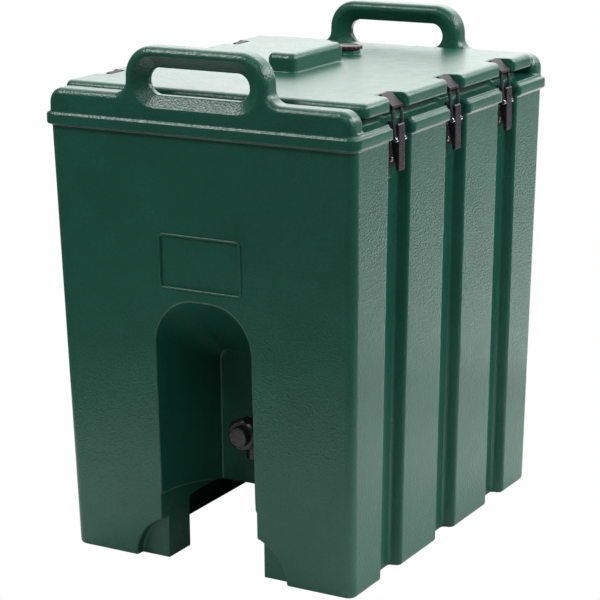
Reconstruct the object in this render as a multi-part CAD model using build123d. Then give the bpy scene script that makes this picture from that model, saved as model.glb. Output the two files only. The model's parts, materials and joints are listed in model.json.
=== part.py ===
"""Insulated beverage container with a lift-off lid, six over-centre latches and a push-button tap.

Millimetres, +Z up, origin at the centre of the footprint on the floor.
X runs across the tap side, and the tap faces -Y.
"""
import os
from math import atan2, degrees

from build123d import *

os.makedirs("parts", exist_ok=True)

# --- container, outside ---
BASE_X, BASE_Y = 387.6, 485.6  # footprint
TOP_X, TOP_Y = 409.5, 510.6  # the same walls at the ledge
LEDGE_Z = 546.5
CORNER_R = 11.0
FOOT_EDGE_R = 5.0
WALL = 4.0  # moulded skin
BAND_X, BAND_Y = 419.0, 521.0  # stiffening band under the ledge
BAND_BOTTOM, BAND_TOP = 528.5, 542.5
BAND_EDGE_R = 2.4
NECK_X, NECK_Y = 376.0, 430.0
NECK_TOP = 556.5
NECK_R = 18.0

# --- side grooves and latch pads ---
GROOVE_YS = (-146.0, 0.0, 146.0)
GROOVE_DEPTH = 16.0
GROOVE_FLOOR_HALF = 22.5
GROOVE_FACE_HALF = 26.5
GROOVE_INNER_R, GROOVE_EDGE_R = 4.0, 3.5
BAND_GAP_HALF = 24.5
PAD_X = 191.0
PAD_HALF = 17.0
PAD_BOTTOM = 478.5

# --- end blocks with the handles ---
END_Y = 258.0
END_THICK = 30.5
BLOCK_HALF_X = 203.0
BLOCK_TOP = 572.0
BLOCK_CORNER_R = 18.0
HANDLE_HALF_X = 95.0
HANDLE_TOP = 628.0
HANDLE_CORNER_R = 36.5
HANDLE_FLARE_R = 15.0
SLOT_Z = 587.5
SLOT_X, SLOT_H = 135.5, 31.5
DISH_Z = 588.0
DISH_X, DISH_H = 171.0, 60.0
DISH_DEPTH = 11.0
END_EDGE_R = 9.0

# --- tap recess, feet and the space between them ---
RECESS_BACK_Y = -112.0
RECESS_MOUTH_Y = -262.0
RECESS_MOUTH_HALF, RECESS_BACK_HALF = 65.5, 62.5
RECESS_MOUTH_TOP, RECESS_BACK_TOP = 341.0, 236.5
RECESS_MOUTH_R, RECESS_BACK_R = 59.0, 14.0
UNDER_HALF_X, UNDER_HALF_Y = 126.0, 181.0
UNDER_TOP = 66.0
FOOT_STEP = 1.6
FOOT_STEP_FRONT_Z, FOOT_STEP_REAR_Z = 88.0, 65.0
BITE_X, BITE_R = 49.0, 56.5
BITE_BACK_Y = -229.0

# --- blank label panel ---
LABEL_X, LABEL_H, LABEL_Z = 109.0, 63.5, 379.0
LABEL_DEPTH = 1.4

# --- tank ---
TANK_X, TANK_Y = 300.0, 396.0
TANK_R = 30.0
TANK_FLOOR_FRONT, TANK_FLOOR_REAR = 124.0, 142.0
HUMP_WALL = 16.0  # liner and foam between the recess and the tank

# --- lid ---
LID_X, LID_Y = 406.0, 450.0
LID_BOTTOM, LID_TOP = 559.5, 576.0
LID_CORNER_R, LID_EDGE_R = 9.5, 8.0
PLUG_X, PLUG_Y = 292.0, 388.0
PLUG_BOTTOM = 534.0
LID_WALL = 3.5
NOTCH_HALF_IN, NOTCH_HALF_OUT = 14.0, 21.5
NOTCH_TIP_X, NOTCH_LIP_X = 178.0, 196.0
RAISED_X, RAISED_Y, RAISED_H = 39.0, 125.0, 23.5
RAISED_CENTRE_Y = -1.5
RAISED_CORNER_R, RAISED_EDGE_R = 9.0, 8.0
SEAL_OUT_X, SEAL_OUT_Y, SEAL_OUT_R = 336.0, 420.0, 36.0  # gasket ring, outside
SEAL_IN_X, SEAL_IN_Y, SEAL_IN_R = 316.0, 400.0, 28.0  # and inside

# --- vent, on one upright axis ---
VENT_Y = 112.0
BOSS_R, BOSS_TOP = 13.5, 582.0
INSERT_R, INSERT_LIP_R, INSERT_LIP_T = 9.0, 12.0, 2.0
VENT_STEM_R, VENT_PLAY = 6.0, 0.05
VENT_HOLE_R = 2.0
VENT_SEAL_R, VENT_SEAL_HOLE_R, VENT_SEAL_T = 12.0, 7.0, 1.5
CAP_R, CAP_T, CAP_EDGE_R = 16.0, 4.5, 2.0
CAP_DISH_R, CAP_DISH = 10.5, 0.8
GRIPS, GRIP_R = 16, 1.6

# --- latch, drawn at the right-hand side with its middle on Y = 0 ---
LEVER_PIVOT = (200.0, 539.5)  # X, Z of the pin in the base
HOOK_PIVOT = (203.5, 526.0)  # X, Z of the pin in the lever
LEVER_OUT_X = 206.5
LEVER_BOTTOM, LEVER_HALF, LEVER_WALL = 490.5, 8.0, 2.2
LEVER_BACK, LEVER_HEAD, LEVER_KNEE, LEVER_TIP = 3.6, 4.6, 16.0, 3.4  # from the pin; tip thickness
DIMPLE_R, DIMPLE, DIMPLE_DROP = 1.3, 1.2, 6.5
PIN_R, PIN_PLAY = 1.5, 0.05
HOOK_PLAY = 0.4
ARM_R = 2.0
HOOK_TIP_X, HOOK_BEND_X, HOOK_KNEE_Z = 181.0, 196.6, 561.6
HOOK_T, HOOK_GAP = 4.4, 0.35
EYE_R = 3.0
PLATE_T = 2.0
PLATE_NECK_HALF, PLATE_FOOT_HALF = 5.3, 10.0
PLATE_STEPS = (6.5, -5.5, -27.5, -46.5)  # corner heights from the pin
LUG_R = 4.0
RIVET_ZS = (501.5, 521.5)
RIVET_DEPTH = 6.0
RIVET_HEAD_R, RIVET_HEAD_T = 3.0, 1.3

# --- tap, all on one axis along Y ---
TAP_Z = 148.0
TAP_GASKET_T, TAP_FLANGE_T = 2.5, 4.0
TAP_FLANGE_R, BARREL_R, SHANK_R = 17.0, 13.0, 10.0
BARREL_FRONT_Y, SHANK_END_Y = -157.0, -84.0
SPOUT_Y, SPOUT_BOTTOM = -138.0, 112.0
SPOUT_R, SPOUT_BORE_R = 9.0, 6.5
CHAMBER_FRONT_Y, CHAMBER_BACK_Y, CHAMBER_R = -144.0, -121.0, 9.0
PORT_R = 4.5
VALVE_FRONT_Y, VALVE_R, VALVE_T, VALVE_BORE_R = -115.0, 6.5, 5.0, 7.5
SPRING_FRONT_Y, SPRING_BACK_Y, SPRING_R, SPRING_HOLE_R = -165.0, -147.0, 7.5, 6.0
SPRING_SEAT_R = 10.5
BONNET_FRONT_Y, BONNET_BACK_Y, BONNET_R = -168.0, -150.0, 20.0
BONNET_STEP_Y, BONNET_BORE_R, BONNET_CHAMFER = -158.0, 12.6, 2.5
SCALLOPS, SCALLOP_R, SCALLOP_OUT = 8, 6.0, 24.3
BUTTON_FRONT_Y, BUTTON_BACK_Y, BUTTON_R, BUTTON_EDGE_R = -176.0, -162.5, 12.5, 1.6
BUTTON_FACE_T, BUTTON_HOLLOW_R, BUTTON_HUB_R, BUTTON_HUB_Y = 3.0, 9.5, 4.5, -166.0
STEM_R, STEM_PLAY = 2.5, 0.05
STEM_FRONT_Y, STEM_BACK_Y = -171.0, -109.0
NUT_R, NUT_T = 15.0, 7.0
INNER_GASKET_R, INNER_GASKET_T = 15.0, 2.0
OVER = 2.0  # how far a cutter runs past what it cuts


def save(name, shape):
    export_step(shape, f"parts/{name}.step")
    print(f"{name:28s} {shape.volume / 1000:10.2f} cm3")


def block(x0, x1, y0, y1, z0, z1):
    return Pos((x0 + x1) / 2, (y0 + y1) / 2, (z0 + z1) / 2) * Box(x1 - x0, y1 - y0, z1 - z0)


def rod_x(x0, x1, y, z, r):
    return Pos((x0 + x1) / 2, y, z) * Rot(0, 90, 0) * Cylinder(r, abs(x1 - x0))


def rod_y(x, y0, y1, z, r):
    return Pos(x, (y0 + y1) / 2, z) * Rot(90, 0, 0) * Cylinder(r, abs(y1 - y0))


def rod_z(x, y, z0, z1, r):
    return Pos(x, y, (z0 + z1) / 2) * Cylinder(r, z1 - z0)


def rounded_slab(x, y, r, z0, z1):
    return extrude(Pos(0, 0, z0) * RectangleRounded(x, y, r), z1 - z0)


def at_height(base, top, z):
    return base + (top - base) * z / LEDGE_Z


def both_sides(shape):
    return shape + mirror(shape, about=Plane.YZ)


def body_form(inset, z_top):
    """The tapered outside of the container, moved inwards by inset."""
    sections = []
    for z in (inset, z_top):
        x = at_height(BASE_X, TOP_X, z) - 2 * inset
        y = at_height(BASE_Y, TOP_Y, z) - 2 * inset
        sections.append(Pos(0, 0, z) * RectangleRounded(x, y, CORNER_R - inset))
    return loft(sections, ruled=True)


def flared_slot(face_x, floor_x, floor_half, face_half, inner_r, edge_r):
    """Plan of a cut into the +X side whose outer edges come out rounded."""
    wing = face_half + edge_r + 6
    out = face_x + 30
    points = [
        (floor_x, -floor_half),
        (face_x, -face_half),
        (face_x, -wing),
        (out, -wing),
        (out, wing),
        (face_x, wing),
        (face_x, face_half),
        (floor_x, floor_half),
    ]
    plan = make_face(Polyline(*points, close=True))
    plan = fillet([v for v in plan.vertices() if abs(v.X - floor_x) < 0.01], inner_r)
    edge = [v for v in plan.vertices() if abs(v.X - face_x) < 0.01 and abs(v.Y) < face_half + 1]
    return fillet(edge, edge_r)


def groove_cut(outset):
    """One full-height groove on the +X side, following the taper of the wall."""
    sections = []
    for z in (-2.0, LEDGE_Z + 2.0):
        face = at_height(BASE_X, TOP_X, z) / 2
        plan = flared_slot(
            face + 0.3 - outset,
            face - GROOVE_DEPTH - outset,
            GROOVE_FLOOR_HALF + outset,
            GROOVE_FACE_HALF + outset,
            GROOVE_INNER_R,
            GROOVE_EDGE_R,
        )
        sections.append(Pos(0, 0, z) * plan)
    return loft(sections, ruled=True)


def recess_section(y, half, top, corner):
    low = -5.0
    outline = Pos(0, (low + top) / 2) * Rectangle(2 * half, top - low)
    outline = fillet(outline.vertices().group_by(Axis.Y)[-1], corner)
    return Plane.XZ.offset(-y) * outline


def recess_form(outset):
    mouth = recess_section(
        RECESS_MOUTH_Y, RECESS_MOUTH_HALF + outset, RECESS_MOUTH_TOP + 1.22 * outset, RECESS_MOUTH_R + outset
    )
    back = recess_section(
        RECESS_BACK_Y + outset,
        RECESS_BACK_HALF + outset,
        RECESS_BACK_TOP + 0.5 * outset,
        RECESS_BACK_R + outset,
    )
    return loft([mouth, back], ruled=True)


def under_form(outset):
    half_x = UNDER_HALF_X + outset
    half_y = UNDER_HALF_Y + outset
    space = rounded_slab(2 * half_x, 2 * half_y, 12.0, -2.0, UNDER_TOP + outset)
    return fillet(space.faces().sort_by(Axis.Z)[-1].edges(), 6.0)


def foot_step_cut():
    """The feet's inner faces stand back a little below a curved line."""
    back_y = RECESS_BACK_Y - 0.5
    low = (RECESS_MOUTH_Y, -OVER)
    start = (RECESS_MOUTH_Y, FOOT_STEP_FRONT_Z)
    middle = ((RECESS_MOUTH_Y + back_y) / 2, (FOOT_STEP_FRONT_Z + FOOT_STEP_REAR_Z) / 2 + 6.0)
    end = (back_y, FOOT_STEP_REAR_Z)
    foot = (back_y, -OVER)
    outline = Polyline(end, foot, low, start) + ThreePointArc(start, middle, end)
    half = RECESS_MOUTH_HALF + FOOT_STEP
    return extrude(Plane.YZ.offset(-half) * make_face(outline), 2 * half)


def tank_form(outset):
    half_y = TANK_Y / 2 + outset
    drop = TANK_FLOOR_REAR - TANK_FLOOR_FRONT
    slope = degrees(atan2(drop, TANK_Y))
    tank = rounded_slab(TANK_X + 2 * outset, TANK_Y + 2 * outset, TANK_R + outset, 60.0, NECK_TOP + 5)
    floor = Pos(0, 0, (TANK_FLOOR_FRONT + TANK_FLOOR_REAR) / 2 - outset) * Rot(slope, 0, 0)
    tank -= floor * Pos(0, 0, -100) * Box(600, 3 * half_y, 200)
    return tank - recess_form(HUMP_WALL - outset)


def end_frame():
    """Front end block and its handle in one piece."""
    low = BAND_BOTTOM + 2
    outline = Pos(0, (low + BLOCK_TOP) / 2) * Rectangle(2 * BLOCK_HALF_X, BLOCK_TOP - low)
    outline = fillet(outline.vertices().group_by(Axis.Y)[-1], BLOCK_CORNER_R)
    loop = Pos(0, (low + HANDLE_TOP) / 2) * Rectangle(2 * HANDLE_HALF_X, HANDLE_TOP - low)
    outline += fillet(loop.vertices().group_by(Axis.Y)[-1], HANDLE_CORNER_R)
    level = [v for v in outline.vertices() if abs(v.Y - BLOCK_TOP) < 0.1]
    crotch = [v for v in level if abs(abs(v.X) - HANDLE_HALF_X) < 0.1]
    outline = fillet(crotch, HANDLE_FLARE_R)
    frame = extrude(Plane.XZ.offset(END_Y) * outline, -END_THICK)
    rim = [e for e in frame.edges().filter_by(Axis.Y, reverse=True) if e.center().Z > low + 0.5]
    frame = fillet(rim, END_EDGE_R)
    slot = Plane.XZ.offset(END_Y + OVER) * Pos(0, SLOT_Z) * SlotOverall(SLOT_X, SLOT_H)
    frame -= extrude(slot, -END_THICK - 2 * OVER)
    for face_y, way in ((-END_Y, 1), (-END_Y + END_THICK, -1)):
        wide = Plane.XZ.offset(-face_y + way * 0.01) * Pos(0, DISH_Z) * SlotOverall(DISH_X, DISH_H)
        tight = Plane.XZ.offset(-face_y - way * DISH_DEPTH) * Pos(0, SLOT_Z) * SlotOverall(SLOT_X, SLOT_H)
        frame -= loft([wide, tight], ruled=True)
    return frame


def label_cut():
    lean = degrees(atan2((TOP_Y - BASE_Y) / 2, LEDGE_Z))
    face_y = -at_height(BASE_Y, TOP_Y, LABEL_Z) / 2
    wide = chamfer(Rectangle(LABEL_X + 2, LABEL_H + 2).vertices(), 4.5)
    deep = chamfer(Rectangle(LABEL_X, LABEL_H).vertices(), 4.0)
    cut = loft([Pos(0, 0, 0.2) * wide, Pos(0, 0, -LABEL_DEPTH) * deep], ruled=True)
    return Pos(0, face_y, LABEL_Z) * Rot(90 + lean, 0, 0) * cut


def container_outside():
    body = body_form(0.0, LEDGE_Z)
    body = fillet(body.faces().sort_by(Axis.Z)[0].edges(), FOOT_EDGE_R)
    groove = both_sides(groove_cut(0.0))
    for y in GROOVE_YS:
        body -= Pos(0, y, 0) * groove

    band = rounded_slab(BAND_X, BAND_Y, CORNER_R + 3, BAND_BOTTOM, BAND_TOP)
    gap = both_sides(block(PAD_X - 30, 230, -BAND_GAP_HALF, BAND_GAP_HALF, BAND_BOTTOM - 5, BAND_TOP + 5))
    for y in GROOVE_YS:
        band -= Pos(0, y, 0) * gap
    ends = [e for e in band.edges().filter_by(Axis.Z) if abs(abs(e.center().X) - BAND_X / 2) < 0.1]
    band = fillet(ends, 5.0)
    outer = [
        e
        for f in (band.faces().sort_by(Axis.Z)[0], band.faces().sort_by(Axis.Z)[-1])
        for e in f.outer_wire().edges()
        if abs(e.center().X) > PAD_X + 4 or abs(e.center().Y) > BAND_Y / 2 - 10
    ]
    band = fillet(outer, BAND_EDGE_R)
    body += band

    pad_height = LEDGE_Z + 6 - PAD_BOTTOM
    pad_plan = Pos(0, PAD_BOTTOM + pad_height / 2) * Rectangle(2 * PAD_HALF, pad_height)
    pad_plan = fillet(pad_plan.vertices().group_by(Axis.Y)[0], PAD_HALF - 2)
    pad = extrude(Plane.YZ.offset(PAD_X - 14) * pad_plan, 14.0)
    rim = [e for e in pad.faces().sort_by(Axis.X)[-1].edges() if e.center().Z < LEDGE_Z]
    pad = both_sides(fillet(rim, 2.0))
    for y in GROOVE_YS:
        body += Pos(0, y, 0) * pad

    neck = rounded_slab(NECK_X, NECK_Y, NECK_R, LEDGE_Z - 20, NECK_TOP)
    neck = fillet(neck.faces().sort_by(Axis.Z)[-1].edges(), 2.0)
    frame = end_frame()
    body += neck
    body += frame
    body += mirror(frame, about=Plane.XZ)

    body -= recess_form(0.0)
    body -= under_form(0.0)
    body -= foot_step_cut()
    for side in (-1, 1):
        body -= rod_y(side * BITE_X, RECESS_MOUTH_Y, BITE_BACK_Y, 0, BITE_R)
    return body - label_cut()


def void_form():
    """The space between the outer skin and the tank liner."""
    void = body_form(WALL, BAND_TOP)
    void += rounded_slab(NECK_X - 2 * WALL, NECK_Y - 2 * WALL, NECK_R - WALL, BAND_TOP - 1, NECK_TOP - WALL)
    for side in (-1, 1):
        edge = side * (END_Y - WALL)
        far = side * (END_Y - END_THICK + WALL)
        half = BLOCK_HALF_X - WALL - 1.5
        void += block(-half, half, min(edge, far), max(edge, far), BAND_TOP - 1, NECK_TOP - WALL - 1.5)
    groove = both_sides(groove_cut(WALL))
    for y in GROOVE_YS:
        void -= Pos(0, y, 0) * groove
    void -= recess_form(WALL)
    void -= under_form(WALL)
    reach = BITE_X + BITE_R + WALL + 2
    void -= block(-reach, reach, RECESS_MOUTH_Y, BITE_BACK_Y + WALL, -OVER, BITE_R + WALL + 2)
    void -= tank_form(WALL)
    return void - rod_y(0, RECESS_BACK_Y - 5, -60, TAP_Z, SHANK_R + 6)


def make_container():
    void = void_form()
    shell = container_outside() - tank_form(0.0) - void
    shell -= rod_y(0, RECESS_BACK_Y - 5, -60, TAP_Z, SHANK_R + 0.5)
    for y in GROOVE_YS:
        for z in RIVET_ZS:
            shell -= Pos(0, y, 0) * both_sides(rod_x(PAD_X - RIVET_DEPTH, PAD_X + 5, 0, z, PIN_R))
    save("container_shell", shell)
    save("container_foam", void)
    tank = tank_form(0.0) - block(-300, 300, -300, 300, PLUG_BOTTOM, 700)
    print(f"tank volume below the lid {tank.volume / 1e6:.1f} litres")


def notch_cut():
    """One latch notch on the lid's +X side: a ramp that the hook sits on."""
    top = LID_TOP + 2
    slope = (LID_TOP - LID_BOTTOM) / (NOTCH_LIP_X - NOTCH_TIP_X)
    start = (NOTCH_TIP_X - 2 / slope, top)
    ramp = [start, (NOTCH_LIP_X + 0.5, LID_BOTTOM - 0.5), (230, LID_BOTTOM - 0.5), (230, top)]
    wedge = extrude(Plane.XZ.offset(-60) * make_face(Polyline(*ramp, close=True)), 120)
    plan = flared_slot(LID_X / 2 + 0.3, NOTCH_TIP_X - 4, NOTCH_HALF_IN, NOTCH_HALF_OUT, 3.0, 6.0)
    return wedge & extrude(Pos(0, 0, LID_BOTTOM - 2) * plan, 30)


def make_lid():
    slab = rounded_slab(LID_X, LID_Y, LID_CORNER_R, LID_BOTTOM, LID_TOP)
    slab = fillet(slab.faces().sort_by(Axis.Z)[-1].edges(), LID_EDGE_R)
    slab = fillet(slab.faces().sort_by(Axis.Z)[0].edges(), 2.0)
    notch = both_sides(notch_cut())
    for y in GROOVE_YS:
        slab -= Pos(0, y, 0) * notch
    plug = rounded_slab(PLUG_X, PLUG_Y, TANK_R - 3, PLUG_BOTTOM, LID_BOTTOM + 2)
    plug = fillet(plug.faces().sort_by(Axis.Z)[0].edges(), 5.0)
    raised = rounded_slab(RAISED_X, RAISED_Y, RAISED_CORNER_R, LID_TOP - 2, LID_TOP + RAISED_H)
    raised = fillet(raised.faces().sort_by(Axis.Z)[-1].edges(), RAISED_EDGE_R)
    raised = Pos(0, RAISED_CENTRE_Y, 0) * raised
    boss = rod_z(0, VENT_Y, LID_TOP - 2, BOSS_TOP, BOSS_R)
    boss = fillet(boss.faces().sort_by(Axis.Z)[-1].edges(), 1.5)
    solid = slab + plug + raised + boss

    low = LID_BOTTOM + LID_WALL
    high = LID_TOP - LID_WALL
    void = rounded_slab(LID_X - 2 * LID_WALL, LID_Y - 2 * LID_WALL, LID_CORNER_R - LID_WALL, low, high)
    notch_keep = both_sides(block(NOTCH_TIP_X - 8, 230, -28, 28, LID_BOTTOM, LID_TOP))
    for y in GROOVE_YS:
        void -= Pos(0, y, 0) * notch_keep
    void += rounded_slab(
        PLUG_X - 2 * LID_WALL, PLUG_Y - 2 * LID_WALL, TANK_R - 7, PLUG_BOTTOM + LID_WALL, high
    )
    core = rounded_slab(RAISED_X - 2 * WALL, RAISED_Y - 2 * WALL, 4.0, high - 2, LID_TOP + RAISED_H - WALL)
    void += Pos(0, RAISED_CENTRE_Y, 0) * core
    void -= rod_z(0, VENT_Y, PLUG_BOTTOM, LID_TOP, INSERT_R + WALL)

    save("lid_shell", solid - void - rod_z(0, VENT_Y, PLUG_BOTTOM - OVER, BOSS_TOP + OVER, INSERT_R))
    save("lid_foam", void)

    ring = rounded_slab(SEAL_OUT_X, SEAL_OUT_Y, SEAL_OUT_R, NECK_TOP, LID_BOTTOM)
    ring -= rounded_slab(SEAL_IN_X, SEAL_IN_Y, SEAL_IN_R, NECK_TOP, LID_BOTTOM)
    save("lid_gasket", fillet(ring.faces().sort_by(Axis.Z)[0].edges(), 1.0))


def make_vent():
    insert = rod_z(0, VENT_Y, PLUG_BOTTOM, BOSS_TOP, INSERT_R)
    insert += rod_z(0, VENT_Y, PLUG_BOTTOM - INSERT_LIP_T, PLUG_BOTTOM, INSERT_LIP_R)
    bore = rod_z(0, VENT_Y, PLUG_BOTTOM - INSERT_LIP_T - OVER, BOSS_TOP + OVER, VENT_STEM_R + VENT_PLAY)
    save("vent_insert", insert - bore)

    seat = BOSS_TOP + VENT_SEAL_T
    seal = rod_z(0, VENT_Y, BOSS_TOP, seat, VENT_SEAL_R)
    save("vent_seal", seal - rod_z(0, VENT_Y, BOSS_TOP - OVER, seat + OVER, VENT_SEAL_HOLE_R))

    head = rod_z(0, VENT_Y, seat, seat + CAP_T, CAP_R)
    head = fillet(head.faces().sort_by(Axis.Z)[-1].edges(), CAP_EDGE_R)
    head -= Pos(0, VENT_Y, seat + CAP_T) * extrude(Circle(CAP_DISH_R), -CAP_DISH)
    for turn in range(GRIPS):
        grip = rod_z(CAP_R + 0.9, 0, seat - OVER, seat + CAP_T + OVER, GRIP_R)
        head -= Pos(0, VENT_Y, 0) * Rot(0, 0, turn * 360 / GRIPS) * grip
    stem = rod_z(0, VENT_Y, PLUG_BOTTOM + 6, seat + 1, VENT_STEM_R)
    save("vent_cap", head + stem - rod_z(0, VENT_Y, PLUG_BOTTOM, BOSS_TOP - 2, VENT_HOLE_R))


def latch_base():
    """Plate riveted to the pad, narrow between the lever's cheeks, with the lug for the pin."""
    x, z = LEVER_PIVOT
    halves = (PLATE_NECK_HALF, PLATE_NECK_HALF, PLATE_FOOT_HALF, PLATE_FOOT_HALF)
    corners = [(half, z + step) for half, step in zip(halves, PLATE_STEPS)]
    outline = corners + [(-half, height) for half, height in reversed(corners)]
    plate = make_face(Polyline(*outline, close=True))
    plate = fillet(plate.vertices().group_by(Axis.Y)[0], 6.0)
    plate = extrude(Plane.YZ.offset(PAD_X) * plate, PLATE_T)
    lug = rod_y(x, -PLATE_NECK_HALF, PLATE_NECK_HALF, z, LUG_R)
    lug += block(PAD_X, x, -PLATE_NECK_HALF, PLATE_NECK_HALF, z - 2 * LUG_R, z)
    base = plate + lug - rod_y(x, -LEVER_HALF, LEVER_HALF, z, PIN_R + PIN_PLAY)
    for rivet_z in RIVET_ZS:
        base -= rod_x(PAD_X - OVER, PAD_X + PLATE_T + OVER, 0, rivet_z, PIN_R)
    return base


def latch_lever():
    """U-shaped lever: an outer web and two cheeks that taper towards the tip."""
    x, z = LEVER_PIVOT
    back = x - LEVER_BACK
    side = make_face(
        Polyline(
            (LEVER_OUT_X, LEVER_BOTTOM),
            (LEVER_OUT_X, z + LEVER_HEAD),
            (back, z + LEVER_HEAD),
            (back, z - LEVER_KNEE),
            (LEVER_OUT_X - LEVER_TIP, LEVER_BOTTOM),
            close=True,
        )
    )
    side = fillet(side.vertices().group_by(Axis.Y)[-1], 3.0)
    lever = extrude(Plane.XZ.offset(-LEVER_HALF) * side, 2 * LEVER_HALF)
    inner = LEVER_HALF - LEVER_WALL
    web = LEVER_OUT_X - LEVER_WALL
    lever -= block(back - OVER, web, -inner, inner, LEVER_BOTTOM + 1.8, z + LEVER_HEAD + OVER)
    lever -= rod_y(x, -inner, inner, z, LUG_R + 0.3)
    edges = [e for e in lever.edges().filter_by(Axis.Z) if e.center().X > LEVER_OUT_X - 0.01]
    lever = fillet(edges, 0.9)
    for px, pz in (LEVER_PIVOT, HOOK_PIVOT):
        lever -= rod_y(px, -LEVER_HALF - OVER, LEVER_HALF + OVER, pz, PIN_R + PIN_PLAY)
    return lever - rod_x(LEVER_OUT_X - DIMPLE, LEVER_OUT_X + OVER, 0, z - DIMPLE_DROP, DIMPLE_R)


def ramp_z(x):
    """Height of the hook's underside over the lid's ramp."""
    slope = (LID_TOP - LID_BOTTOM) / (NOTCH_LIP_X - NOTCH_TIP_X)
    return LID_TOP - (x - NOTCH_TIP_X) * slope + HOOK_GAP * (1 + slope)


def latch_hook():
    """Strap with a nose that lies on the lid's ramp, and two round arms down to the pin."""
    px, pz = HOOK_PIVOT
    reach = LEVER_HALF + HOOK_PLAY + ARM_R
    eye = ARM_R + 0.15
    half = reach + eye + 0.15
    profile = make_face(
        Polyline(
            (HOOK_TIP_X, ramp_z(HOOK_TIP_X)),
            (HOOK_BEND_X, ramp_z(HOOK_BEND_X)),
            (HOOK_BEND_X + 0.4, HOOK_KNEE_Z),
            (HOOK_BEND_X + 4.6, HOOK_KNEE_Z),
            (HOOK_BEND_X + HOOK_T, ramp_z(HOOK_BEND_X) + 4.5),
            (HOOK_TIP_X + 4.6, ramp_z(HOOK_TIP_X) + HOOK_T - 1.0),
            (HOOK_TIP_X + 1.6, ramp_z(HOOK_TIP_X) + 1.6),
            close=True,
        )
    )
    strap = extrude(Plane.XZ.offset(-half) * profile, 2 * half)
    top_x = HOOK_BEND_X + 2.4
    for side in (-1, 1):
        y = side * reach
        path = Line((px, y, pz), (top_x, y, HOOK_KNEE_Z + 1.0))
        strap += sweep(Plane(origin=path @ 0, z_dir=path % 0) * Circle(ARM_R), path=path)
        strap += rod_y(px, y - eye, y + eye, pz, EYE_R)
    return strap - rod_y(px, -half - OVER, half + OVER, pz, PIN_R + PIN_PLAY)


def make_latches():
    x, z = LEVER_PIVOT
    px, pz = HOOK_PIVOT
    reach = LEVER_HALF + HOOK_PLAY + 2 * ARM_R
    pieces = {
        "base": latch_base(),
        "lever_pin": rod_y(x, -LEVER_HALF, LEVER_HALF, z, PIN_R),
        "lever": latch_lever(),
        "hook_pin": rod_y(px, -reach, reach, pz, PIN_R),
        "hook": latch_hook(),
    }
    rivet = rod_x(PAD_X - RIVET_DEPTH, PAD_X + PLATE_T, 0, 0, PIN_R)
    head = rod_x(PAD_X + PLATE_T, PAD_X + PLATE_T + RIVET_HEAD_T, 0, 0, RIVET_HEAD_R)
    rivet += fillet(head.faces().sort_by(Axis.X)[-1].edges(), 1.0)
    rivets = []
    for y, place in zip(GROOVE_YS, ("front", "middle", "rear")):
        for side in ("right", "left"):
            for name, piece in pieces.items():
                moved = Pos(0, y, 0) * piece
                if side == "left":
                    moved = mirror(moved, about=Plane.YZ)
                save(f"latch_{side}_{place}_{name}", moved)
            for rivet_z in RIVET_ZS:
                moved = Pos(0, y, rivet_z) * rivet
                rivets.append(mirror(moved, about=Plane.YZ) if side == "left" else moved)
    save("latch_rivets", Compound(children=rivets))


def on_tap(y0, y1, r):
    return rod_y(0, y0, y1, TAP_Z, r)


def tap_body():
    flange_y = RECESS_BACK_Y - TAP_GASKET_T
    body = on_tap(flange_y - TAP_FLANGE_T, flange_y, TAP_FLANGE_R)
    body += on_tap(BARREL_FRONT_Y, flange_y, BARREL_R)
    body += on_tap(flange_y, SHANK_END_Y, SHANK_R)
    body += rod_z(0, SPOUT_Y, SPOUT_BOTTOM, TAP_Z, SPOUT_R)
    body -= rod_z(0, SPOUT_Y, SPOUT_BOTTOM - OVER, TAP_Z, SPOUT_BORE_R)
    body -= on_tap(CHAMBER_FRONT_Y, CHAMBER_BACK_Y, CHAMBER_R)
    body -= on_tap(CHAMBER_BACK_Y, SHANK_END_Y + OVER, PORT_R)
    body -= on_tap(VALVE_FRONT_Y, SHANK_END_Y + OVER, VALVE_BORE_R)
    body -= on_tap(BARREL_FRONT_Y - OVER, SPRING_BACK_Y, SPRING_SEAT_R)
    return body - on_tap(BARREL_FRONT_Y - OVER, CHAMBER_BACK_Y, STEM_R + STEM_PLAY)


def tap_bonnet():
    """Ring with a scalloped rim that screws onto the barrel and holds the button."""
    bonnet = on_tap(BONNET_FRONT_Y, BONNET_BACK_Y, BONNET_R)
    bonnet = chamfer(bonnet.faces().sort_by(Axis.Y)[0].edges(), BONNET_CHAMFER)
    scallop = rod_y(SCALLOP_OUT, BONNET_FRONT_Y - OVER, BONNET_BACK_Y + OVER, 0, SCALLOP_R)
    for turn in range(SCALLOPS):
        bonnet -= Pos(0, 0, TAP_Z) * Rot(0, (turn + 0.5) * 360 / SCALLOPS, 0) * scallop
    bonnet -= on_tap(BONNET_STEP_Y, BONNET_BACK_Y + OVER, BARREL_R)
    return bonnet - on_tap(BONNET_FRONT_Y - OVER, BONNET_BACK_Y + OVER, BONNET_BORE_R)


def tap_button():
    button = on_tap(BUTTON_FRONT_Y, BUTTON_BACK_Y, BUTTON_R)
    button = fillet(button.faces().sort_by(Axis.Y)[0].edges(), BUTTON_EDGE_R)
    button -= on_tap(BUTTON_FRONT_Y + BUTTON_FACE_T, BUTTON_BACK_Y + OVER, BUTTON_HOLLOW_R)
    button += on_tap(BUTTON_FRONT_Y + BUTTON_FACE_T - 1, BUTTON_HUB_Y, BUTTON_HUB_R)
    return button - on_tap(STEM_FRONT_Y, BUTTON_BACK_Y + OVER, STEM_R)


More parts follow.
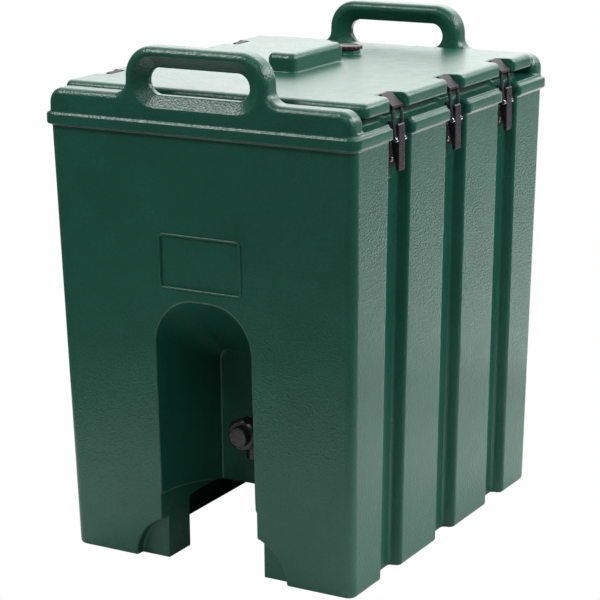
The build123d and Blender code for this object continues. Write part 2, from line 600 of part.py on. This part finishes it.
def make_tap():
    hump = RECESS_BACK_Y + HUMP_WALL
    flange_y = RECESS_BACK_Y - TAP_GASKET_T
    nut_y = hump + INNER_GASKET_T
    shank_hole = on_tap(flange_y - OVER, nut_y + NUT_T + OVER, SHANK_R)
    save("tap_body", tap_body())
    save("tap_outer_gasket", on_tap(flange_y, RECESS_BACK_Y, TAP_FLANGE_R) - shank_hole)
    save("tap_inner_gasket", on_tap(hump, nut_y, INNER_GASKET_R) - shank_hole)
    nut = extrude(Plane.XZ.offset(-nut_y) * Pos(0, TAP_Z) * RegularPolygon(NUT_R, 6), -NUT_T)
    save("tap_nut", nut - shank_hole)
    save("tap_bonnet", tap_bonnet())
    save("tap_button", tap_button())
    save("tap_stem", on_tap(STEM_FRONT_Y, STEM_BACK_Y, STEM_R))
    valve = on_tap(VALVE_FRONT_Y, VALVE_FRONT_Y + VALVE_T, VALVE_R)
    save("tap_valve", valve - on_tap(VALVE_FRONT_Y - OVER, VALVE_FRONT_Y + VALVE_T + OVER, STEM_R))
    spring = on_tap(SPRING_FRONT_Y, SPRING_BACK_Y, SPRING_R)
    save("tap_spring", spring - on_tap(SPRING_FRONT_Y - OVER, SPRING_BACK_Y + OVER, SPRING_HOLE_R))


make_container()
make_lid()
make_vent()
make_latches()
make_tap()
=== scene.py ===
import json
import math

import bmesh
import bpy
import numpy as np
from mathutils import Euler, Matrix, Vector


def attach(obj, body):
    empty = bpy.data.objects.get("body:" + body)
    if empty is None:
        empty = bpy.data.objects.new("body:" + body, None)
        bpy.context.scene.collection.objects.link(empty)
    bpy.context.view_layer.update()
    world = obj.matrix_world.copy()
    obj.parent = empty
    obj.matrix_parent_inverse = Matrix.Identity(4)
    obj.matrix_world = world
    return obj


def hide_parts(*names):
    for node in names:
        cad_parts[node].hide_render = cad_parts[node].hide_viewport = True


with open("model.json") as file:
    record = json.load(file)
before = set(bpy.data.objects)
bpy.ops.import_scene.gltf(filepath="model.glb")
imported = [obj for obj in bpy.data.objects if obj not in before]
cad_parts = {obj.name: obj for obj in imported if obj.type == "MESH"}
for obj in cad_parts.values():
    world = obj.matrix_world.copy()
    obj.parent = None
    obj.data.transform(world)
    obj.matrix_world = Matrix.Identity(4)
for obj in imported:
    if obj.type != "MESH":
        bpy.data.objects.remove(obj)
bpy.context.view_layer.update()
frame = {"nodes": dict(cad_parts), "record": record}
NODES = frame["nodes"]
SCENE = bpy.context.scene

# ---------------------------------------------------------------- camera
CAMERA_PLACE = (1.2772, -2.2389, 0.9545)
CAMERA_YAW = 29.938
CAMERA_PITCH = 14.675
CAMERA_ROLL = -0.5395
CAMERA_LENS = 126.80

camera_data = bpy.data.cameras.new("camera")
camera_data.lens = CAMERA_LENS
camera_data.sensor_width = 36
camera = bpy.data.objects.new("camera", camera_data)
SCENE.collection.objects.link(camera)
camera.location = CAMERA_PLACE
aim = Euler((math.radians(90 - CAMERA_PITCH), 0, math.radians(CAMERA_YAW)), "XYZ")
spin = Euler((0, 0, math.radians(CAMERA_ROLL)), "XYZ")
camera.rotation_euler = (aim.to_matrix() @ spin.to_matrix()).to_euler("XYZ")
SCENE.camera = camera


# ---------------------------------------------------------------- materials
class Shader:
    """A principled material and short calls that add nodes to it."""

    def __init__(self, name, **sockets):
        self.material = bpy.data.materials.new(name)
        self.material.use_nodes = True
        self.nodes = self.material.node_tree.nodes
        self.links = self.material.node_tree.links
        self.bsdf = self.nodes["Principled BSDF"]
        for key, value in sockets.items():
            self.bsdf.inputs[key.replace("_", " ")].default_value = value
        self.place = self.nodes.new("ShaderNodeTexCoord").outputs["Object"]

    def link(self, source, target):
        self.links.new(source, target)

    def fill(self, socket, value):
        if hasattr(value, "links"):
            self.link(value, socket)
        else:
            socket.default_value = value

    def noise(self, scale, detail=2.0, roughness=0.5, distortion=0.0):
        node = self.nodes.new("ShaderNodeTexNoise")
        node.inputs["Scale"].default_value = scale
        node.inputs["Detail"].default_value = detail
        node.inputs["Roughness"].default_value = roughness
        node.inputs["Distortion"].default_value = distortion
        self.link(self.place, node.inputs["Vector"])
        return node.outputs["Fac"]

    def cells(self, scale, feature="SMOOTH_F1"):
        node = self.nodes.new("ShaderNodeTexVoronoi")
        node.feature = feature
        node.inputs["Scale"].default_value = scale
        if feature == "SMOOTH_F1":
            node.inputs["Smoothness"].default_value = 0.6
        self.link(self.place, node.inputs["Vector"])
        return node.outputs["Distance"]

    def remap(self, value, low, high, out_low, out_high):
        node = self.nodes.new("ShaderNodeMapRange")
        self.link(value, node.inputs["Value"])
        for socket, number in zip(list(node.inputs)[1:5], (low, high, out_low, out_high)):
            socket.default_value = number
        return node.outputs["Result"]

    def blend(self, factor, a, b):
        node = self.nodes.new("ShaderNodeMix")
        node.data_type = "RGBA"
        self.fill(node.inputs["Factor"], factor)
        self.fill(node.inputs[6], a)
        self.fill(node.inputs[7], b)
        return node.outputs[2]

    def bump(self, height, distance, strength=1.0, under=None):
        node = self.nodes.new("ShaderNodeBump")
        node.inputs["Strength"].default_value = strength
        node.inputs["Distance"].default_value = distance
        self.link(height, node.inputs["Height"])
        if under is not None:
            self.link(under, node.inputs["Normal"])
        return node.outputs["Normal"]

    def edges(self):
        return self.nodes.new("ShaderNodeNewGeometry").outputs["Pointiness"]

    def colour(self, value):
        self.link(value, self.bsdf.inputs["Base Color"])

    def rough(self, value):
        self.link(value, self.bsdf.inputs["Roughness"])

    def normal(self, value):
        self.link(value, self.bsdf.inputs["Normal"])


def rgba(red, green, blue):
    return (red, green, blue, 1.0)


def moulded_green():
    """Rotomoulded polyethylene: pebble grain, faint cloudiness, and a painted highlight that lightens the
    convex edges.
    """
    s = Shader("green_polyethylene", IOR=1.5)
    pebble = s.cells(420)
    fine = s.noise(1000, 2)
    grain = s.bump(pebble, 0.0005, 0.6)
    s.normal(s.bump(fine, 0.0002, 0.5, grain))
    cloud = s.noise(14, 4, 0.6)
    deep = rgba(0.0085, 0.088, 0.056)
    pale = rgba(0.0125, 0.108, 0.070)
    body = s.blend(s.remap(cloud, 0.3, 0.7, 0, 1), deep, pale)
    pits = s.remap(pebble, 0.25, 0.75, 0.0, 0.30)
    body = s.blend(pits, body, rgba(0.004, 0.048, 0.030))
    # painted highlight: convex edges (high pointiness) blended toward a pale green
    painted_edge_highlight = s.remap(s.edges(), 0.53, 0.62, 0, 0.35)
    s.colour(s.blend(painted_edge_highlight, body, rgba(0.05, 0.20, 0.145)))
    s.rough(s.remap(s.noise(60, 3), 0.3, 0.7, 0.29, 0.34))
    return s.material


def flow_marks(shader, dark, light):
    """Two close tones mixed as nylon flows in a mould."""
    flow = shader.noise(160, 4, 0.6, 0.8)
    return shader.blend(shader.remap(flow, 0.3, 0.7, 0, 1), dark, light)


def nylon(name, dark, light, rough_low, rough_high, ior=1.5):
    """Glass-filled nylon: faint flow marks, fine tooth, and a painted highlight that pales the convex edges.
    """
    s = Shader(name, IOR=ior)
    body = flow_marks(s, dark, light)
    # painted highlight: convex edges (high pointiness) blended toward a pale grey
    painted_edge_glint = s.remap(s.edges(), 0.55, 0.64, 0, 0.25)
    s.colour(s.blend(painted_edge_glint, body, rgba(0.16, 0.14, 0.15)))
    s.rough(s.remap(s.noise(300, 3), 0.3, 0.7, rough_low, rough_high))
    s.normal(s.bump(s.noise(2200, 1), 0.00003, 0.25))
    return s.material


def hook_finish(plate_bottom, fade):
    """Dark nylon plate with polished wire arms below it."""
    s = Shader("latch_hook", IOR=1.36)
    plate = flow_marks(s, rgba(0.020, 0.014, 0.018), rgba(0.040, 0.028, 0.035))
    split = s.nodes.new("ShaderNodeSeparateXYZ")
    s.link(s.place, split.inputs[0])
    arms = s.remap(split.outputs["Z"], plate_bottom + fade, plate_bottom - fade, 0, 1)
    s.colour(s.blend(arms, plate, rgba(0.32, 0.30, 0.33)))
    s.link(arms, s.bsdf.inputs["Metallic"])
    s.bsdf.inputs["Specular IOR Level"].default_value = 0.22
    s.rough(s.remap(arms, 0, 1, 0.36, 0.16))
    s.normal(s.bump(s.noise(1800, 2), 0.00004, 0.3))
    return s.material


def metal(name, tint, rough_low, rough_high):
    """Drawn wire or rivet metal: a fine even tooth and slight stains."""
    s = Shader(name, Metallic=1.0)
    stain = s.noise(220, 4)
    stained = rgba(tint[0] * 0.6, tint[1] * 0.58, tint[2] * 0.55)
    s.colour(s.blend(s.remap(stain, 0.45, 0.75, 0, 1), rgba(*tint), stained))
    s.rough(s.remap(s.noise(900, 2), 0.3, 0.7, rough_low, rough_high))
    s.normal(s.bump(s.noise(2500, 1), 0.00004, 0.3))
    return s.material


def rubber():
    """Moulded silicone ring: soft, dusty, slightly mottled."""
    s = Shader("silicone_seal", IOR=1.4)
    s.colour(s.blend(s.noise(90, 4), rgba(0.10, 0.10, 0.10), rgba(0.16, 0.16, 0.155)))
    s.rough(s.remap(s.noise(200, 2), 0.3, 0.7, 0.55, 0.7))
    s.normal(s.bump(s.noise(900, 2), 0.0001, 0.4))
    return s.material


def urethane_foam():
    """Foamed-in insulation: closed cells and a cream colour that varies."""
    s = Shader("urethane_foam", Roughness=0.9)
    s.colour(s.blend(s.noise(30, 5), rgba(0.62, 0.50, 0.28), rgba(0.78, 0.66, 0.42)))
    s.rough(s.remap(s.noise(120, 2), 0.3, 0.7, 0.85, 0.97))
    s.normal(s.bump(s.cells(500, "F1"), 0.0006, 0.8))
    return s.material


HOOK_PLATE_BOTTOM, HOOK_FADE = 0.5590, 0.0006

GREEN = moulded_green()
NYLON_DARK = nylon("nylon_dark_grey", rgba(0.014, 0.010, 0.013), rgba(0.028, 0.019, 0.025), 0.24, 0.34, 1.36)
NYLON_BLACK = nylon("nylon_black", rgba(0.012, 0.012, 0.013), rgba(0.022, 0.021, 0.023), 0.22, 0.34)
VENT_BROWN = nylon("vent_cap_brown", rgba(0.030, 0.017, 0.019), rgba(0.045, 0.026, 0.028), 0.30, 0.42)
STEEL = metal("pin_steel", (0.62, 0.61, 0.60), 0.22, 0.38)
HOOK = hook_finish(HOOK_PLATE_BOTTOM, HOOK_FADE)
RIVET = metal("rivet_bronze", (0.66, 0.55, 0.47), 0.20, 0.34)
SEAL = rubber()
FOAM = urethane_foam()

FINISHES = {
    "green_plastic": GREEN,
    "foam": FOAM,
    "nylon_dark": NYLON_DARK,
    "nylon_black": NYLON_BLACK,
    "tap_plastic": NYLON_BLACK,
    "vent_plastic": VENT_BROWN,
    "seal_rubber": SEAL,
    "steel": STEEL,
    "rivet_metal": RIVET,
}


def paint(piece, material):
    piece.data.materials.clear()
    piece.data.materials.append(material)


SLOT_OF = {part["node"]: part["material_slot"] for part in frame["record"]["subparts"]}
BODY_OF = {}
for body, members in frame["record"]["behaviour"]["bodies"].items():
    for member in members:
        BODY_OF[member] = body
for name, node in NODES.items():
    paint(node, FINISHES[SLOT_OF[name]])


# ---------------------------------------------------------------- softened mouldings
WELD = 1e-6  # corners nearer than this are one corner
COPLANAR = math.radians(0.2)
SNAP_FREE, SNAP_RAMP = 0.04, 0.10  # in voxels: a point further off its flat than both stays rounded
SMALL_FLAT = 0.002  # least thickness of a flat kept flat on the vent and tap pieces
LATCH_FLAT = 0.0012
LATCH_PITCH = 0.146


def shells_of(mesh):
    """The mesh's closed surfaces, largest box first, each as a list of its faces' indices."""
    build = bmesh.new()
    build.from_mesh(mesh)
    bmesh.ops.remove_doubles(build, verts=build.verts, dist=WELD)
    build.faces.ensure_lookup_table()
    seen = set()
    groups = []
    for face in build.faces:
        if face.index in seen:
            continue
        group = []
        queue = [face]
        seen.add(face.index)
        while queue:
            here = queue.pop()
            group.append(here)
            for edge in here.edges:
                for other in edge.link_faces:
                    if other.index not in seen:
                        seen.add(other.index)
                        queue.append(other)
        groups.append(group)
    meshes = []
    for group in groups:
        index = {}
        points = []
        faces = []
        for face in group:
            corners = []
            for vert in face.verts:
                if vert.index not in index:
                    index[vert.index] = len(points)
                    points.append(vert.co.copy())
                corners.append(index[vert.index])
            faces.append(corners)
        span = Vector([max(p[k] for p in points) - min(p[k] for p in points) for k in range(3)])
        meshes.append((span.length, points, faces))
    build.free()
    meshes.sort(key=lambda item: -item[0])
    return meshes


def broad_flats(points, faces, least):
    """The flat faces at least so thick, as one mesh, coplanar neighbours joined."""
    build = bmesh.new()
    verts = [build.verts.new(p) for p in points]
    for corners in faces:
        build.faces.new([verts[k] for k in corners])
    bmesh.ops.dissolve_limit(
        build, angle_limit=COPLANAR, verts=build.verts, edges=build.edges, delimit={"NORMAL"}
    )
    slim = []
    for face in build.faces:
        around = sum(edge.calc_length() for edge in face.edges)
        if 2 * face.calc_area() / around < least:
            slim.append(face)
    bmesh.ops.delete(build, geom=slim, context="FACES")
    bmesh.ops.triangulate(build, faces=build.faces)
    mesh = bpy.data.meshes.new("flats")
    build.to_mesh(mesh)
    build.free()
    return mesh


def coordinates(mesh):
    """The mesh's points, one row each."""
    flat = np.empty(len(mesh.vertices) * 3, dtype=np.float32)
    mesh.vertices.foreach_get("co", flat)
    return flat.reshape(-1, 3)


def helper(name, data):
    """A new object in the scene."""
    piece = bpy.data.objects.new(name, data)
    SCENE.collection.objects.link(piece)
    return piece


def modified(piece):
    """The piece's mesh as its modifiers leave it."""
    graph = bpy.context.evaluated_depsgraph_get()
    return bpy.data.meshes.new_from_object(piece.evaluated_get(graph))


def rounded_mesh(surface, voxel, rounds, face_limit, flat_least):
    """The closed surface with its sharp edges rounded and its flat faces kept truly flat."""
    outside = bpy.data.meshes.new("outside")
    outside.from_pydata(surface[1], [], surface[2])
    work = helper("work", outside)
    remesh = work.modifiers.new("remesh", "REMESH")
    remesh.mode = "VOXEL"
    remesh.voxel_size = voxel
    smooth = work.modifiers.new("smooth", "SMOOTH")
    smooth.factor = 0.5
    smooth.iterations = rounds
    mesh = modified(work)
    bpy.data.objects.remove(work)
    flats = helper("flats", broad_flats(surface[1], surface[2], flat_least))
    if len(flats.data.polygons):
        work = helper("work", mesh)
        wrap = work.modifiers.new("wrap", "SHRINKWRAP")
        wrap.target = flats
        wrap.wrap_method = "NEAREST_SURFACEPOINT"
        loose = coordinates(mesh)
        snapped = coordinates(modified(work))
        gap = np.linalg.norm(snapped - loose, axis=1)
        keep = np.clip((gap / voxel - SNAP_FREE) / SNAP_RAMP, 0, 1)[:, None]
        mesh.vertices.foreach_set("co", (snapped + (loose - snapped) * keep).astype(np.float32).ravel())
        mesh.update()
        bpy.data.objects.remove(work)
    bpy.data.objects.remove(flats)
    work = helper("work", mesh)
    count = sum(len(p.vertices) - 2 for p in mesh.polygons)
    thin = work.modifiers.new("thin", "DECIMATE")
    thin.ratio = min(1.0, face_limit / count)
    mesh.shade_smooth()
    broad = work.modifiers.new("broad", "WEIGHTED_NORMAL")
    broad.mode = "FACE_AREA"
    broad.weight = 60
    mesh = modified(work)
    bpy.data.objects.remove(work)
    return mesh


def softened(name, voxel, rounds, face_limit, flat_least=0.004):
    """A copy of a CAD moulding whose outer surface has the soft edges of the real mould.
    Sealed surfaces inside it are kept as the CAD has them."""
    surfaces = shells_of(NODES[name].data)
    mesh = rounded_mesh(surfaces[0], voxel, rounds, face_limit, flat_least)
    build = bmesh.new()
    build.from_mesh(mesh)
    for _, points, faces in surfaces[1:]:
        verts = [build.verts.new(p) for p in points]
        for corners in faces:
            build.faces.new([verts[k] for k in corners])
    build.to_mesh(mesh)
    build.free()
    return stand_in(name, mesh)


def stand_in(name, mesh, material=None):
    """Put the mesh in the place of the CAD node."""
    mesh.shade_smooth()
    piece = helper(name + "_moulded", mesh)
    paint(piece, material or FINISHES[SLOT_OF[name]])
    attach(piece, BODY_OF[name])
    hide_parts(name)
    return piece


def softened_row(part, voxel, rounds, face_limit, material=None):
    """One latch piece softened once and set in the place of all six."""
    first = "latch_right_middle_" + part
    mould = rounded_mesh(shells_of(NODES[first].data)[0], voxel, rounds, face_limit, LATCH_FLAT)
    for place, shift in (("front", -LATCH_PITCH), ("middle", 0.0), ("rear", LATCH_PITCH)):
        for side, way in (("right", 1), ("left", -1)):
            mesh = mould.copy()
            mesh.transform(Matrix.Translation((0, shift, 0)) @ Matrix.Diagonal((way, 1, 1, 1)))
            if way < 0:
                mesh.flip_normals()
            stand_in(f"latch_{side}_{place}_{part}", mesh, material)


softened("container_shell", 0.0014, 2, 170000)
softened("lid_shell", 0.0013, 2, 80000)
softened("vent_cap", 0.0004, 2, 16000, SMALL_FLAT)
softened("tap_bonnet", 0.0004, 2, 20000, SMALL_FLAT)
softened("tap_button", 0.0004, 2, 12000, SMALL_FLAT)
softened_row("lever", 0.00035, 2, 9000)
softened_row("hook", 0.00035, 2, 12000, HOOK)
softened_row("base", 0.00035, 2, 7000)


# ---------------------------------------------------------------- label rim
FRONT_FOOT_Y, FRONT_RISE, LEDGE = -0.2428, 0.0125, 0.5465
LABEL_Z, LABEL_W, LABEL_H, LABEL_R = 0.379, 0.1095, 0.064, 0.0052
BEAD_HALF, BEAD_HEIGHT, BEAD_SIDES = 0.0013, 0.0013, 10
CORNER_STEPS = 10


def rounded_outline(width, height, radius, steps):
    """Points round a rounded rectangle, each with the direction that faces outwards there."""
    points = []
    for turn, (cx, cz) in enumerate(((1, 1), (-1, 1), (-1, -1), (1, -1))):
        for step in range(steps + 1):
            angle = math.radians(90 * turn + 90 * step / steps)
            x = cx * (width / 2 - radius) + radius * math.cos(angle)
            z = cz * (height / 2 - radius) + radius * math.sin(angle)
            points.append((x, z, math.cos(angle), math.sin(angle)))
    return points


def label_rim():
    """Low moulded bead that runs round the blank label panel."""
    outline = rounded_outline(LABEL_W, LABEL_H, LABEL_R, CORNER_STEPS)
    build = bmesh.new()
    rings = []
    for x, z, out_x, out_z in outline:
        ring = []
        for step in range(BEAD_SIDES):
            angle = 2 * math.pi * step / BEAD_SIDES
            off = BEAD_HALF * math.cos(angle)
            here_z = LABEL_Z + z + out_z * off
            face_y = FRONT_FOOT_Y - FRONT_RISE * here_z / LEDGE
            here_y = face_y - BEAD_HEIGHT * math.sin(angle)
            ring.append(build.verts.new((x + out_x * off, here_y, here_z)))
        rings.append(ring)
    for k, ring in enumerate(rings):
        after = rings[(k + 1) % len(rings)]
        for step in range(BEAD_SIDES):
            far = (step + 1) % BEAD_SIDES
            build.faces.new((ring[step], ring[far], after[far], after[step]))
    bmesh.ops.recalc_face_normals(build, faces=build.faces)
    mesh = bpy.data.meshes.new("label_rim")
    build.to_mesh(mesh)
    build.free()
    mesh.shade_smooth()
    rim = helper("label_rim", mesh)
    paint(rim, GREEN)
    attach(rim, BODY_OF["container_shell"])


label_rim()


# ---------------------------------------------------------------- floor, lights
def soft_light(name, place, target, width, power):
    """Square soft box that faces its target."""
    data = bpy.data.lights.new(name, "AREA")
    data.shape = "SQUARE"
    data.size = width
    data.energy = power
    lamp = helper(name, data)
    lamp.location = place
    away = Vector(target) - Vector(place)
    lamp.rotation_euler = away.to_track_quat("-Z", "Y").to_euler()


def pale_table(radius):
    """Round white table; the camera sees it as bare white, as it sees the backdrop."""
    build = bmesh.new()
    bmesh.ops.create_circle(build, cap_ends=True, radius=radius, segments=96)
    mesh = bpy.data.meshes.new("table")
    build.to_mesh(mesh)
    build.free()
    table = helper("table", mesh)
    s = Shader("table_white", Roughness=0.8)
    s.colour(s.blend(s.noise(3, 2), rgba(0.80, 0.80, 0.80), rgba(0.84, 0.84, 0.84)))
    glow = s.nodes.new("ShaderNodeEmission")
    seen = s.nodes.new("ShaderNodeLightPath").outputs["Is Camera Ray"]  # for the floor only, not the object
    either = s.nodes.new("ShaderNodeMixShader")
    s.link(seen, either.inputs[0])
    s.link(s.bsdf.outputs[0], either.inputs[1])
    s.link(glow.outputs[0], either.inputs[2])
    s.link(either.outputs[0], s.nodes["Material Output"].inputs["Surface"])
    paint(table, s.material)


class Studio:
    """World light made of soft lobes, each bright around one direction."""

    def __init__(self):
        world = bpy.data.worlds.new("studio")
        SCENE.world = world
        world.use_nodes = True
        self.nodes = world.node_tree.nodes
        self.links = world.node_tree.links
        self.direction = self.nodes.new("ShaderNodeTexCoord").outputs["Generated"]
        self.total = None

    def add(self, value):
        if self.total is None:
            self.total = value
            return
        node = self.nodes.new("ShaderNodeMath")
        node.operation = "ADD"
        self.links.new(self.total, node.inputs[0])
        if hasattr(value, "links"):
            self.links.new(value, node.inputs[1])
        else:
            node.inputs[1].default_value = value
        self.total = node.outputs[0]

    def lobe(self, turn, rise, inner, outer, strength):
        """Turn is measured from +Y towards +X and rise from the horizon, in degrees."""
        flat = math.cos(math.radians(rise))
        way = (
            math.sin(math.radians(turn)) * flat,
            math.cos(math.radians(turn)) * flat,
            math.sin(math.radians(rise)),
        )
        dot = self.nodes.new("ShaderNodeVectorMath")
        dot.operation = "DOT_PRODUCT"
        self.links.new(self.direction, dot.inputs[0])
        dot.inputs[1].default_value = way
        ramp = self.nodes.new("ShaderNodeMapRange")
        ramp.interpolation_type = "SMOOTHSTEP"
        self.links.new(dot.outputs["Value"], ramp.inputs["Value"])
        ramp.inputs["From Min"].default_value = math.cos(math.radians(outer))
        ramp.inputs["From Max"].default_value = math.cos(math.radians(inner))
        ramp.inputs["To Min"].default_value = 0.0
        ramp.inputs["To Max"].default_value = strength
        self.add(ramp.outputs["Result"])

    def finish(self):
        path = self.nodes.new("ShaderNodeLightPath")
        seen = self.nodes.new("ShaderNodeMix")
        seen.data_type = "FLOAT"
        self.links.new(path.outputs["Is Camera Ray"], seen.inputs["Factor"])
        self.links.new(self.total, seen.inputs[2])
        seen.inputs[3].default_value = 1.0
        backdrop = self.nodes["Background"]
        backdrop.inputs["Color"].default_value = rgba(1, 1, 1)
        self.links.new(seen.outputs[0], backdrop.inputs["Strength"])


pale_table(0.72)
studio = Studio()
studio.lobe(-15, 15, 12, 40, 2.1)
studio.lobe(-25, 50, 18, 42, 2.2)
studio.lobe(10, -33, 10, 27, 3.0)
studio.add(0.12)
studio.finish()

soft_light("left_softbox", (-1.15, -1.35, 2.1), (0, -0.1, 0.5), 0.7, 26)
soft_light("side_softbox", (2.3, 0.2, 2.0), (0.2, 0.0, 0.2), 1.2, 46)
soft_light("front_softbox", (0.9, -2.2, 2.8), (0, 0, 0.3), 0.9, 15)
soft_light("table_softbox", (1.1, 1.2, 1.3), (0.75, 0.75, 0.0), 0.6, 16)

SCENE.view_settings.view_transform = "Standard"
